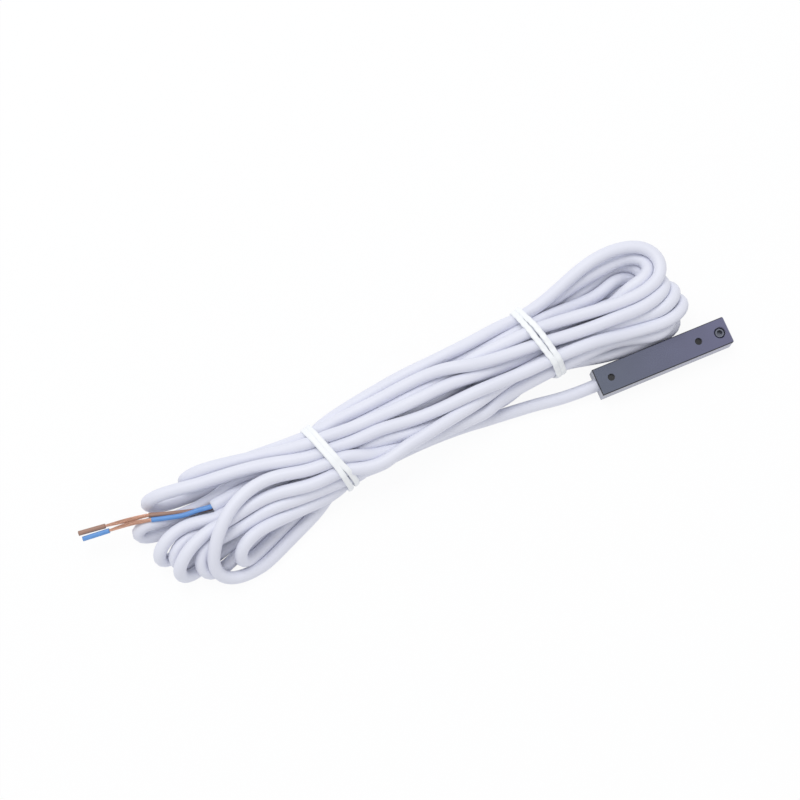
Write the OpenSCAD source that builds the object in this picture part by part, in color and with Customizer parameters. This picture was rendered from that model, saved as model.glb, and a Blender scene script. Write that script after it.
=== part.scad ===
// Reed switch in a slim moulded case, with a two-core lead folded into a tied hank.
// Millimetres. The case lies on its underside: X runs from the cable end to the screw end, Z is up.

/* [Case] */
// Length of the case, along the groove that it is clamped in
case_l = 38; // [34:0.5:46]
// Width of the case
case_w = 7.5; // [6.8:0.1:9]
// Height of the case
case_h = 5.5; // [5.2:0.1:7]
// Thickness of the two long walls
side_wall = 0.9; // [0.6:0.1:1.2]
// Thickness of the wall that the cable comes through
cable_wall = 1.4; // [1:0.1:2]
// Thickness of the top wall
top_wall = 1.1; // [0.9:0.1:1.3]
// Radius of the upright corners at the screw end
corner_r = 0.7; // [0.3:0.1:1.2]
// Radius of the edges along the top face
edge_r = 0.3; // [0.15:0.05:0.5]
// Radius of the top edge at the screw end
nose_r = 0.7; // [0.3:0.1:1]

/* [Dimples left by the moulding pins] */
// Diameter of each dimple
dimple_d = 1.9; // [1.2:0.1:2.4]
// Depth of each dimple
dimple_depth = 0.7; // [0.4:0.1:0.8]
// Distance of the rear dimple from the cable end
rear_dimple_inset = 4; // [2:0.1:6]
// Distance of the front dimple from the screw end
front_dimple_inset = 8.8; // [7:0.1:12]

/* [Set screw] */
// Outer diameter of the screw
screw_d = 2.9; // [2.4:0.1:3.2]
// Length of the screw
screw_l = 4; // [3:0.1:4.4]
// Depth of the screw's head below the top face
screw_sink = 0.5; // [0.2:0.1:0.8]
// Distance of the screw's axis from the screw end
screw_inset = 2.6; // [2.4:0.1:3.4]
// Radial clearance of the screw in its hole
screw_gap = 0.05; // [0.03:0.01:0.08]
// Width of the chamfer round the mouth of the hole
mouth_chamfer = 0.15; // [0.05:0.05:0.4]
// Width of the hexagon socket across its flats
socket_af = 1.5; // [1.2:0.1:1.8]
// Depth of the hexagon socket
socket_depth = 1.5; // [0.8:0.1:2]
// Chamfer on the screw's ends
screw_chamfer = 0.3; // [0.1:0.05:0.5]
// Thickness of the wall between the screw hole and the filled pocket
boss_wall = 1.2; // [0.8:0.1:1.6]

/* [Reed capsule] */
// Outer diameter of the glass tube
glass_d = 2; // [1.8:0.05:2.2]
// Length of the glass tube
glass_l = 12; // [10:0.5:13]
// Wall of the glass tube
glass_wall = 0.25; // [0.15:0.05:0.3]
// Length of the melted seal at each end
seal_l = 1.2; // [0.8:0.1:1.6]
// Diameter of the reeds' round leads
reed_wire_d = 0.5; // [0.4:0.05:0.6]
// Width of the flattened blades
blade_w = 1; // [0.6:0.05:1.1]
// Thickness of the blades
blade_t = 0.2; // [0.15:0.01:0.25]
// Gap between the open contacts
contact_gap = 0.06; // [0.04:0.01:0.1]
// Length over which the blades lie over each other
contact_lap = 1.2; // [0.8:0.1:1.6]
// Distance from the end of the glass to each bent leg
leg_reach = 2; // [1.4:0.1:2.4]

/* [Circuit board] */
// Thickness of the board
board_t = 0.8; // [0.6:0.1:1]
// Height of the board's underside
board_z = 0.75; // [0.7:0.05:0.85]
// Board past the outermost joints, at each end
board_margin = 0.9; // [0.8:0.1:1.2]
// Space between the board's edges and the case
board_side = 0.25; // [0.1:0.05:0.4]
// Width of the copper tracks
track_w = 0.7; // [0.5:0.05:0.9]
// Thickness of the copper tracks
track_t = 0.07; // [0.04:0.01:0.1]
// Radius of the solder joints
solder_r = 0.6; // [0.5:0.05:0.65]
// Height of the solder joints
solder_h = 0.35; // [0.2:0.05:0.45]
// Depth of the resin's surface inside the case's rim
resin_drop = 0.1; // [0.05:0.05:0.15]

/* [Cable] */
// Diameter of the cable's jacket
cable_d = 3.4; // [3:0.1:3.6]
// Diameter of each insulated core
core_d = 1.3; // [1.1:0.05:1.4]
// Diameter of each twisted copper conductor
conductor_d = 0.8; // [0.6:0.05:0.9]
// Distance between the two cores' centres
core_pitch = 1.5; // [1.45:0.05:1.7]
// Distance from the jacket's inner end to the cores' solder joints
core_out = 4; // [3.6:0.1:4.6]
// Length of conductor laid bare before its solder joint
inner_strip = 1.2; // [1:0.1:1.6]
// Distance from the cores' solder joints to the rear reed's leg
pad_to_leg = 3.6; // [2.6:0.1:4.4]
// Copper laid bare between the insulation and the slug at the tip
bare_l = 12; // [8:0.5:16]
// Length of the slug of insulation left on each tip
slug_l = 7.5; // [5:0.5:10]

/* [Ties] */
// Width of each tie, over both turns of its cord
tie_w = 3.4; // [2.4:0.2:4.4]
// Thickness of the ties' cord
tie_t = 0.8; // [0.5:0.1:0.9]

/* [Hank] */
// Height of the loops that lie spread at the left end
fan_h = 5.2; // [4:0.1:5.2]
// Height of the bundle
bundle_h = 12.4; // [9:0.2:14]
// Height of the loops at the right end
loops_h = 13.4; // [9:0.2:15]

/* [Hidden] */
$fn = 48;

// Clearances: resin round what it holds, a fixed piece in its hole, a reed in its hole, layers on the board
resin_gap = 0.03;
seat_gap = 0.03;
reed_gap = 0.06;
joint_gap = 0.01;
// How far a cut runs past a face
past = 1;

// Route of the lead, from inside the case to where it joins the hank
lead_z = 2.6;
lead_route = [
    [-14.5, 0, lead_z], [-19, 0, lead_z], [-23, 0, lead_z], [-29, 0.4, 2.2], [-36, 1.4, 1.9],
    [-43, 2.4, 1.8], [-50, 2.8, 1.8], [-56.45, 3.37, 1.8], [-59.65, 3, 1.8]
];

// The hank's own frame: its place, its turn about Z, and where the second tie is along it
hank_at = [-91.5, 8.3, 0];
hank_turn = 6.6;
tie_span = 62.4;

// Half the bundle's width at each tie, each tie's slant, and where the lead joins
left_half = 9;
right_half = 9.8;
left_slant = 12;
right_slant = 6.5;
join_at = [31, -8.9];
join_z = lead_route[len(lead_route) - 1].z;

// Tips of the outermost loops, in the hank's frame
left_tips = [[-45.9, 12.1], [-51.7, 7.7], [-49, -8.5], [-40, -13.8]];
right_tips = [[97, 8], [102.6, -3.6], [98, -11.2], [94, -13.2]];
bundle_end = -24;

// Ends of the jacket and routes of the cores outside it, in the hank's frame
tail_v = 3.5;
tail_z = fan_h + cable_d / 2 + 0.05;
tail_end = -32.5;
core_straight = 0.7;
brown_route = [
    [tail_end, tail_v, tail_z - core_pitch / 2], [tail_end - core_straight, tail_v, tail_z - core_pitch / 2],
    [-34.4, tail_v + 0.7, tail_z - core_pitch / 2], [-37.3, 6.2, 6.5], [-40.6, 7.7, 7], [-47.6, 9.8, 6.15]
];
blue_route = [
    [tail_end, tail_v, tail_z + core_pitch / 2], [tail_end - core_straight, tail_v, tail_z + core_pitch / 2],
    [-34.4, tail_v + 0.45, tail_z + core_pitch / 2], [-37.3, 4.95, 7.65], [-40.6, 6.15, 7], [-47.6, 8.3, 6.15]
];

// Lines along the case
cable_end_x = -case_l / 2;
screw_end_x = case_l / 2;
jacket_end_x = lead_route[0][0];
pad_x = jacket_end_x + core_out;
strip_x = pad_x - inner_strip;
rear_leg_x = pad_x + pad_to_leg;
glass_x0 = rear_leg_x + leg_reach;
glass_x1 = glass_x0 + glass_l;
glass_mid = (glass_x0 + glass_x1) / 2;
glass_inner_r = glass_d / 2 - glass_wall;
seal_taper = glass_inner_r / 2;
blade_start = seal_l + seal_taper + seat_gap;
front_leg_x = glass_x1 + leg_reach;
board_x0 = pad_x - board_margin;
board_x1 = front_leg_x + board_margin;
screw_x = screw_end_x - screw_inset;
hole_r = screw_d / 2 + screw_gap;
pocket_x0 = cable_end_x + cable_wall;
pocket_x1 = screw_x - hole_r - boss_wall;
joint_places = [[pad_x, core_pitch / 2], [pad_x, -core_pitch / 2], [rear_leg_x, 0], [front_leg_x, 0]];

// Levels
pocket_top = case_h - top_wall;
pocket_w = case_w - 2 * side_wall;
board_top = board_z + board_t;
glass_z = (board_top + pocket_top) / 2;
track_z = board_z - track_t;
leg_foot = track_z - solder_h + seat_gap;
screw_top = case_h - screw_sink;
board_w = pocket_w - 2 * board_side;
blue_track_y = -(board_w - track_w) / 2 + board_side;
bundle_z = tie_t + 0.15;
bundle_round = 0.36 * bundle_h;

// Steps that build up the rounded back of a tie's cord: shares of its width and of its thickness
cord_steps = [[1.02, 0.5], [0.8, 0.85], [0.5, 1]];

// A sweep: one ring of points for each point of a route, then the skin between them
function unit(v) = v / norm(v);
function heading(route, i) =
    unit(route[min(i + 1, len(route) - 1)] - route[max(i - 1, 0)]);
function ring(centre, ahead, r, sides) =
    let (across = unit(cross([0, 0, 1], ahead)), above = cross(ahead, across))
    [for (k = [0 : sides - 1])
        let (a = (k + 0.5) * 360 / sides)
        centre + r * (cos(a) * across + sin(a) * above)];

module swept_tube(route, d, sides = 8) {
    n = len(route);
    rings = [for (i = [0 : n - 1]) each ring(route[i], heading(route, i), d / 2, sides)];
    skin = [
        for (i = [0 : n - 2], k = [0 : sides - 1])
            let (a = i * sides + k, b = i * sides + (k + 1) % sides)
            each [[a, a + sides, b + sides], [a, b + sides, b]]
    ];
    near_cap = [for (k = [0 : sides - 1]) k];
    far_cap = [for (k = [sides - 1 : -1 : 0]) (n - 1) * sides + k];
    polyhedron(points = rings, faces = concat([near_cap], skin, [far_cap]));
}

module in_hank() {
    translate(hank_at) rotate(hank_turn) children();
}

module along_x(x0, x1, r, y, z) {
    translate([x0, y, z]) rotate([0, 90, 0]) cylinder(r = r, h = x1 - x0);
}

module box(low, high) {
    translate(low) cube(high - low);
}

// A square with its corners rounded to r, centred
module rounded_square(w, h, r) {
    square([w - 2 * r, h], center = true);
    square([w, h - 2 * r], center = true);
    for (x = [-1, 1], y = [-1, 1])
        translate([x * (w / 2 - r), y * (h / 2 - r)]) circle(r);
}

// A round wire that runs along X to a leg and bends down through the board. way is 1 where the leg is ahead.
module bent_wire(x0, leg_x, r, y, z, foot, way) {
    bend = 2 * r;
    turn_x = leg_x - way * bend;
    along_x(min(x0, turn_x), max(x0, turn_x), r, y, z);
    translate([turn_x, y, z - bend])
        rotate([90, 0, 0])
            rotate([0, 0, way > 0 ? 0 : 90])
                rotate_extrude(angle = 90) translate([bend, 0]) circle(r);
    translate([leg_x, y, foot]) cylinder(r = r, h = z - bend - foot);
}

module case_block() {
    intersection() {
        linear_extrude(case_h) case_plan();
        rotate([90, 0, 90])
            linear_extrude(case_l + 2 * past, center = true) case_section();
        rotate([90, 0, 0])
            linear_extrude(case_w + 2 * past, center = true) case_profile();
    }
}

// Seen from above: sharp corners at the cable end, rounded at the screw end
module case_plan() {
    translate([cable_end_x, -case_w / 2]) square([case_l - corner_r, case_w]);
    translate([0, corner_r - case_w / 2]) square([screw_end_x, case_w - 2 * corner_r]);
    for (y = [-1, 1])
        translate([screw_end_x - corner_r, y * (case_w / 2 - corner_r)]) circle(corner_r);
}

// Seen along X: the two top edges are rounded
module case_section() {
    translate([-case_w / 2, 0]) square([case_w, case_h - edge_r]);
    translate([edge_r - case_w / 2, 0]) square([case_w - 2 * edge_r, case_h]);
    for (y = [-1, 1])
        translate([y * (case_w / 2 - edge_r), case_h - edge_r]) circle(edge_r);
}

// Seen from the side: the top edge at the screw end is rounded more than the one at the cable end
module case_profile() {
    translate([cable_end_x, 0]) square([case_l, case_h - nose_r]);
    translate([cable_end_x + edge_r, 0]) square([case_l - nose_r - edge_r, case_h]);
    translate([cable_end_x, 0]) square([case_l / 2, case_h - edge_r]);
    translate([screw_end_x - nose_r, case_h - nose_r]) circle(nose_r);
    translate([cable_end_x + edge_r, case_h - edge_r]) circle(edge_r);
}

module dimple(x) {
    translate([x, 0, case_h - dimple_depth]) cylinder(d = dimple_d, h = dimple_depth + past);
}

module cable_way(x0) {
    along_x(x0, jacket_end_x + seat_gap, cable_d / 2 + seat_gap, 0, lead_z);
}

module case() {
    color("#26262a") difference() {
        case_block();
        box([pocket_x0, -pocket_w / 2, -past], [pocket_x1, pocket_w / 2, pocket_top]);
        cable_way(cable_end_x - past);
        dimple(cable_end_x + rear_dimple_inset);
        dimple(screw_end_x - front_dimple_inset);
        translate([screw_x, 0, -past]) cylinder(r = hole_r, h = case_h + 2 * past);
        translate([screw_x, 0, case_h - mouth_chamfer])
            cylinder(r1 = hole_r, r2 = hole_r + mouth_chamfer + past, h = mouth_chamfer + past);
    }
}

// The channels that the pieces inside leave in the resin
module resin_channels() {
    r = resin_gap;
    wire_r = reed_wire_d / 2 + reed_gap;
    conductor_r = conductor_d / 2 + r;
    cable_way(pocket_x0 - past);
    box([board_x0 - r, -board_w / 2 - r, track_z - r], [board_x1 + r, board_w / 2 + r, board_top + r]);
    along_x(glass_x0 - r, glass_x1 + r, glass_d / 2 + r, 0, glass_z);
    box([rear_leg_x - wire_r, -wire_r, board_top], [glass_x0, wire_r, glass_z + wire_r]);
    box([glass_x1, -wire_r, board_top], [front_leg_x + wire_r, wire_r, glass_z + wire_r]);
    for (y = [-1, 1] * core_pitch / 2) {
        along_x(jacket_end_x - past, strip_x + r, core_d / 2 + r, y, lead_z);
        box([strip_x, y - conductor_r, board_top],
            [pad_x + conductor_r, y + conductor_r, lead_z + conductor_r]);
    }
    for (p = joint_places)
        translate([p.x, p.y, track_z - solder_h - r]) cylinder(r = solder_r + r, h = solder_h + r);
}

module potting() {
    color("#1c1c1f") difference() {
        box([pocket_x0 + resin_gap, resin_gap - pocket_w / 2, resin_drop],
            [pocket_x1 - resin_gap, pocket_w / 2 - resin_gap, pocket_top - resin_gap]);
        resin_channels();
    }
}

// Turned from bar: chamfered ends, a hexagon socket above and a cupped point below
module set_screw() {
    r = screw_d / 2;
    cup = r / 2;
    color("#8d8f94") difference() {
        translate([screw_x, 0, screw_top - screw_l])
            rotate_extrude() polygon([
                [0, cup / 2], [cup, 0], [r - screw_chamfer, 0], [r, screw_chamfer],
                [r, screw_l - screw_chamfer], [r - screw_chamfer, screw_l], [0, screw_l]
            ]);
        translate([screw_x, 0, screw_top - socket_depth])
            cylinder(r = socket_af / sqrt(3), h = socket_depth + past, $fn = 6);
    }
}

// The holes for the two conductors and the two reeds' legs
module wire_holes() {
    for (y = [-1, 1])
        translate([pad_x, y * core_pitch / 2, 0]) cylinder(r = conductor_d / 2 + seat_gap, h = case_h);
    for (x = [rear_leg_x, front_leg_x])
        translate([x, 0, 0]) cylinder(r = reed_wire_d / 2 + reed_gap, h = case_h);
}

module circuit_board() {
    color("#2f5d3a") difference() {
        box([board_x0, -board_w / 2, board_z], [board_x1, board_w / 2, board_top]);
        wire_holes();
    }
}

module track(from, to) {
    run = to - from;
    translate(from) rotate(atan2(run.y, run.x))
        translate([0, -track_w / 2]) square([norm(run), track_w]);
    for (p = [from, to]) translate(p) circle(track_w / 2);
}

// One track joins the brown core to the rear reed, the other the blue core to the front reed
module copper_tracks() {
    color("#b87333") difference() {
        translate([0, 0, track_z]) linear_extrude(track_t - joint_gap) {
            track([pad_x, core_pitch / 2], [rear_leg_x, 0]);
            track([pad_x, -core_pitch / 2], [pad_x + track_w, blue_track_y]);
            track([pad_x + track_w, blue_track_y], [front_leg_x - track_w, blue_track_y]);
            track([front_leg_x - track_w, blue_track_y], [front_leg_x, 0]);
            for (p = joint_places) translate(p) circle(solder_r);
        }
        wire_holes();
    }
}

// Drawn from tube: a hollow middle, and ends melted down onto the reeds' leads
module glass_capsule() {
    r = glass_d / 2;
    bore = reed_wire_d / 2 + seat_gap;
    dome = r / 2;
    color("#cfe3df") translate([glass_x0, 0, glass_z]) rotate([0, 90, 0])
        rotate_extrude() polygon([
            [bore, 0], [r - dome, 0], [r - dome * 0.3, dome * 0.3], [r, dome],
            [r, glass_l - dome], [r - dome * 0.3, glass_l - dome * 0.3], [r - dome, glass_l], [bore, glass_l],
            [bore, glass_l - seal_l], [glass_inner_r, glass_l - seal_l - seal_taper],
            [glass_inner_r, seal_l + seal_taper], [bore, seal_l]
        ]);
}

// Drawn wire, pressed flat inside the glass. lift is 1 for the reed that lies over the other.
module reed(leg_x, root_x, tip_x, lift) {
    way = root_x > leg_x ? -1 : 1;
    root_end = root_x - way * reed_wire_d;
    blade_z = glass_z + lift * (contact_gap + blade_t) / 2;
    color("#a9a79c") union() {
        bent_wire(root_end, leg_x, reed_wire_d / 2, 0, glass_z, leg_foot, way);
        box([min(root_x, tip_x), -blade_w / 2, blade_z - blade_t / 2],
            [max(root_x, tip_x), blade_w / 2, blade_z + blade_t / 2]);
    }
}

module rear_reed() {
    reed(rear_leg_x, glass_x0 + blade_start, glass_mid + contact_lap / 2, 1);
}

module front_reed() {
    reed(front_leg_x, glass_x1 - blade_start, glass_mid - contact_lap / 2, -1);
}

// A cone of solder under the board, round the wire that comes through
module solder_joint(x, y, hole) {
    color("#c3c6ca") translate([x, y, track_z])
        rotate_extrude() polygon([
            [hole, -joint_gap], [solder_r, -joint_gap], [hole + seat_gap, -solder_h], [hole, -solder_h]
        ]);
}

module rear_reed_solder() { solder_joint(rear_leg_x, 0, reed_wire_d / 2 + reed_gap); }
module front_reed_solder() { solder_joint(front_leg_x, 0, reed_wire_d / 2 + reed_gap); }
module brown_solder() { solder_joint(pad_x, core_pitch / 2, conductor_d / 2 + seat_gap); }
module blue_solder() { solder_joint(pad_x, -core_pitch / 2, conductor_d / 2 + seat_gap); }

module core_inner(side) {
    along_x(jacket_end_x, strip_x, core_d / 2, side * core_pitch / 2, lead_z);
}

module wire_inner(side) {
    bent_wire(strip_x, pad_x, conductor_d / 2, side * core_pitch / 2, lead_z, leg_foot, 1);
}

module brown_core_inner() { color("#8a5a3c") core_inner(1); }
module blue_core_inner() { color("#3f78c0") core_inner(-1); }
module brown_wire_inner() { color("#b87333") wire_inner(1); }
module blue_wire_inner() { color("#b87333") wire_inner(-1); }

module lead_cable() {
    color("#d9dae2") swept_tube(lead_route, cable_d);
}

// Round-ended outline through the tips of the outermost loops
module loop_outline(near, half, tips) {
    r = cable_d / 2;
    hull() {
        for (v = [r - half, half - r]) translate([near, v]) circle(r, $fn = 24);
        for (p = tips) translate(p) circle(r, $fn = 24);
    }
}

// A length of the bundle with its edges rounded by the outermost strands
module bundle_run(from, long, half) {
    translate([from, 0, bundle_z + bundle_h / 2]) rotate([90, 0, 90])
        linear_extrude(long) rounded_square(2 * half, bundle_h, bundle_round);
}

// The spread loops at the left, the bundle through both ties, and the loops at the right
module folded_lead() {
    r = cable_d / 2;
    slice = 0.5;
    room = tie_w / 2 + left_half * sin(left_slant) + r + 1;
    linear_extrude(fan_h) loop_outline(-room, left_half, left_tips);
    hull() {
        bundle_run(bundle_end, slice, left_half - r);
        bundle_run(-room, slice, left_half);
    }
    bundle_run(-room, 2 * room, left_half);
    hull() {
        bundle_run(room - slice, slice, left_half);
        bundle_run(tie_span - room, slice, right_half);
    }
    bundle_run(tie_span - room, 2 * room, right_half);
    hull() {
        translate([join_at.x - slice, join_at.y, join_z]) rotate([0, 90, 0]) cylinder(r = r, h = slice);
        translate([room, r - left_half, bundle_z + bundle_round]) sphere(r, $fn = 24);
    }
    linear_extrude(loops_h) loop_outline(tie_span + room, right_half, right_tips);
}

module cable_hank() {
    color("#d9dae2") difference() {
        in_hank() folded_lead();
        swept_tube(lead_route, cable_d + 2 * seat_gap);
    }
}

module cable_tail() {
    color("#d9dae2") in_hank()
        swept_tube([[bundle_end, tail_v, tail_z], [tail_end, tail_v, tail_z]], cable_d);
}

// What follows the insulation on a core, a straight line on from the end of its route
module core_tip(route, from, long, d) {
    end = route[len(route) - 1];
    ahead = unit(end - route[len(route) - 2]);
    in_hank() swept_tube([end + from * ahead, end + (from + long) * ahead], d);
}

module brown_core() { color("#8a5a3c") in_hank() swept_tube(brown_route, core_d); }
module blue_core() { color("#3f78c0") in_hank() swept_tube(blue_route, core_d); }
module brown_conductor() { color("#b87333") core_tip(brown_route, 0, bare_l, conductor_d); }
module blue_conductor() { color("#b87333") core_tip(blue_route, 0, bare_l, conductor_d); }
module brown_slug() { color("#8a5a3c") core_tip(brown_route, bare_l, slug_l, core_d); }
module blue_slug() { color("#3f78c0") core_tip(blue_route, bare_l, slug_l, core_d); }

// One turn of a tie's cord: a rounded ring about a bundle of that width and height
module tie_ring(w, h, t) {
    difference() {
        rounded_square(w + 2 * t, h + 2 * t, bundle_round + t);
        rounded_square(w, h, bundle_round);
    }
}

// A cord wound twice round the bundle, slanted across it
module tie(along, half, slant) {
    gap = 0.1;
    cord_w = tie_w / 2;
    inner_w = 2 * (half / cos(slant) + tie_w / 2 * tan(slant) + gap);
    inner_h = bundle_h + 2 * gap;
    color("#f4f6f8") in_hank()
        translate([along, 0, bundle_z + bundle_h / 2]) rotate(slant) rotate([90, 0, 90])
            for (side = [-1, 1], step = cord_steps)
                translate([0, 0, side * cord_w / 2])
                    linear_extrude(step.x * cord_w, center = true) tie_ring(inner_w, inner_h, step.y * tie_t);
}

module left_tie() { tie(0, left_half, left_slant); }
module right_tie() { tie(tie_span, right_half, right_slant); }

case();
potting();
set_screw();
circuit_board();
copper_tracks();
glass_capsule();
rear_reed();
front_reed();
rear_reed_solder();
front_reed_solder();
brown_solder();
blue_solder();
brown_core_inner();
blue_core_inner();
brown_wire_inner();
blue_wire_inner();
lead_cable();
cable_hank();
cable_tail();
brown_core();
blue_core();
brown_conductor();
blue_conductor();
brown_slug();
blue_slug();
left_tie();
right_tie();
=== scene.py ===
import bpy
import numpy as np
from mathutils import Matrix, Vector


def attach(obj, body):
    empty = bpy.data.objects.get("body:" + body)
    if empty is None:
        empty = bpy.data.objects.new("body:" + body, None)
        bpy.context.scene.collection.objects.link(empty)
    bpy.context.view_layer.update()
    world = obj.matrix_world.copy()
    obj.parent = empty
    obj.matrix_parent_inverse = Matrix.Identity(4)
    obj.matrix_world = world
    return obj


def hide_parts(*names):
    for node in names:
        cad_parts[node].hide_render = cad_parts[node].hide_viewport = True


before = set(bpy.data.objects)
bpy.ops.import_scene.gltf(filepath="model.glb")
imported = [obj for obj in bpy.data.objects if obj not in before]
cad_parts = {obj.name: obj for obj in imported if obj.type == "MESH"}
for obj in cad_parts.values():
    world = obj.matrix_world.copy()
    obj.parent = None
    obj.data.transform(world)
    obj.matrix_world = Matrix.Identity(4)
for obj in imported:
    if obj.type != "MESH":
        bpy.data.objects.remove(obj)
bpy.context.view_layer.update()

# The camera. It looks down on the switch from the side of the lead, at the height and distance that put
# the case, the hank and the stripped ends where the photograph has them.
MM = 0.001
FRAME_PIXELS = 800
PIXELS_PER_MM = 3.77
CAMERA_DISTANCE = 450.0
CAMERA_HEIGHT_ANGLE = np.radians(78.0)
CAMERA_BEARING = np.radians(22.6)
CAMERA_TARGET = np.array([-68.18, 16.74, 0.0])

level = np.array([np.sin(CAMERA_BEARING), np.cos(CAMERA_BEARING), 0.0])
looking = np.cos(CAMERA_HEIGHT_ANGLE) * level - np.sin(CAMERA_HEIGHT_ANGLE) * np.array([0.0, 0.0, 1.0])
camera_data = bpy.data.cameras.new("camera")
camera_data.sensor_width = 36.0
camera_data.lens = camera_data.sensor_width * PIXELS_PER_MM * CAMERA_DISTANCE / FRAME_PIXELS
camera_data.clip_start = 0.01
camera = bpy.data.objects.new("camera", camera_data)
camera.location = Vector((CAMERA_TARGET - CAMERA_DISTANCE * looking) * MM)
camera.rotation_euler = Vector(looking).to_track_quat("-Z", "Y").to_euler()
bpy.context.collection.objects.link(camera)
bpy.context.scene.camera = camera
bpy.context.scene.view_settings.view_transform = "Standard"


# The table top and the studio light. A wide white sheet carries the part's soft shadow, a white tent
# lights it from all round, and one broad lamp above and behind the part gives the strands their darker
# near sides.
FLOOR_HALF = 1.5
FLOOR_WHITE = "#F7F8FB"
SEEN_WHITE_SHARE = 0.93
TENT_STRENGTH = 0.74
LAMP_POWER = 2.3
LAMP_SIZE = 0.45
LAMP_AT = (-0.12, 0.38, 0.75)
LAMP_AIM = (-0.066, 0.01, 0.0)


def linear(colour):
    """An sRGB hex colour as linear RGBA: c / 12.92 in the darkest part,
    else ((c + 0.055) / 1.055) ** 2.4."""
    c = np.array([int(colour[k:k + 2], 16) for k in (1, 3, 5)]) / 255
    c = np.where(c <= 0.04045, c / 12.92, ((c + 0.055) / 1.055) ** 2.4)
    return (*c.tolist(), 1.0)


def add(tree, kind, inputs=None, **settings):
    """One node of a material: settings are its own choices, inputs are values or sockets that feed it."""
    node = tree.nodes.new("ShaderNode" + kind)
    for name, value in settings.items():
        setattr(node, name, value)
    for name, value in (inputs or {}).items():
        if isinstance(value, bpy.types.NodeSocket):
            tree.links.new(value, node.inputs[name])
        else:
            node.inputs[name].default_value = value
    return node


def new_material(name):
    """An empty node material: the material, its tree and the socket that takes its finished surface."""
    made = bpy.data.materials.new(name)
    made.use_nodes = True
    made.node_tree.nodes.clear()
    out = add(made.node_tree, "OutputMaterial")
    return made, made.node_tree, out.inputs["Surface"]


# Matt white paper: to the eye an even white ground, with only the part's own shade on it.
paper, tree, surface = new_material("white_paper_matt")
ray = add(tree, "LightPath")
seen = add(tree, "Math", {
    0: ray.outputs["Is Camera Ray"], 1: ray.outputs["Is Glossy Ray"],
}, operation="MAXIMUM")
seen = add(tree, "Math", {0: seen.outputs[0], 1: ray.outputs["Is Transmission Ray"]}, operation="MAXIMUM")
share = add(tree, "Math", {0: seen.outputs[0], 1: SEEN_WHITE_SHARE}, operation="MULTIPLY")
lit = add(tree, "BsdfDiffuse", {"Color": linear(FLOOR_WHITE)})
white = add(tree, "Emission", {"Color": (1.0, 1.0, 1.0, 1.0), "Strength": 1.0})
mixed = add(tree, "MixShader", {0: share.outputs[0], 1: lit.outputs[0], 2: white.outputs[0]})
tree.links.new(mixed.outputs[0], surface)

floor_mesh = bpy.data.meshes.new("floor")
h = FLOOR_HALF
floor_mesh.from_pydata([(-h, -h, 0), (h, -h, 0), (h, h, 0), (-h, h, 0)], [], [(0, 1, 2, 3)])
floor_mesh.materials.append(paper)
floor = bpy.data.objects.new("floor", floor_mesh)
bpy.context.collection.objects.link(floor)

world = bpy.data.worlds.new("white_tent")
world.use_nodes = True
tree = world.node_tree
ray = add(tree, "LightPath")
seen = add(tree, "Math", {
    0: ray.outputs["Is Camera Ray"], 1: ray.outputs["Is Transmission Ray"],
}, operation="MAXIMUM")
strength = add(tree, "MapRange", {"Value": seen.outputs[0], "To Min": TENT_STRENGTH, "To Max": 1.0})
tent = tree.nodes["Background"]
tent.inputs["Color"].default_value = (1.0, 1.0, 1.0, 1.0)
tree.links.new(strength.outputs["Result"], tent.inputs["Strength"])
bpy.context.scene.world = world

lamp_data = bpy.data.lights.new("broad_lamp", "AREA")
lamp_data.energy = LAMP_POWER
lamp_data.size = LAMP_SIZE
lamp = bpy.data.objects.new("broad_lamp", lamp_data)
lamp.location = Vector(LAMP_AT)
lamp.rotation_euler = (Vector(LAMP_AIM) - Vector(LAMP_AT)).to_track_quat("-Z", "Y").to_euler()
bpy.context.collection.objects.link(lamp)


# The reed capsule, the working heart of the switch. A thin glass tube is melted shut at both ends onto
# two reeds of nickel-iron wire, pressed flat where they overlap and plated. It lies inside the case, out
# of sight.
GLASS_RIPPLE = 1.2
REED_STREAK = 3.0
REED_STREAK_W = 0.12


def dress(material, *nodes):
    """Gives CAD nodes one material in place of their plain one."""
    for node in nodes:
        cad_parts[node].data.materials.clear()
        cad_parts[node].data.materials.append(material)


# Soft glass, drawn as tube and fire-sealed: clear with a faint green cast, and slow ripples where the
# flame softened it.
glass, tree, surface = new_material("soft_glass_drawn_and_sealed")
place = add(tree, "TexCoord")
ripple = add(tree, "TexNoise", {
    "Vector": place.outputs["Object"], "Scale": 1 / (GLASS_RIPPLE * MM), "Detail": 1.0,
})
tone = add(tree, "Mix", {
    0: ripple.outputs["Fac"], 6: linear("#DDEDE4"), 7: linear("#EEF6F1"),
}, data_type="RGBA")
rough = add(tree, "MapRange", {"Value": ripple.outputs["Fac"], "To Min": 0.02, "To Max": 0.08})
bump = add(tree, "Bump", {"Height": ripple.outputs["Fac"], "Strength": 0.2, "Distance": 0.03 * MM})
shader = add(tree, "BsdfPrincipled", {
    "Base Color": tone.outputs[2], "Roughness": rough.outputs["Result"], "IOR": 1.51,
    "Transmission Weight": 1.0, "Normal": bump.outputs[0],
})
tree.links.new(shader.outputs[0], surface)
dress(glass, "glass_capsule")

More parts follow.
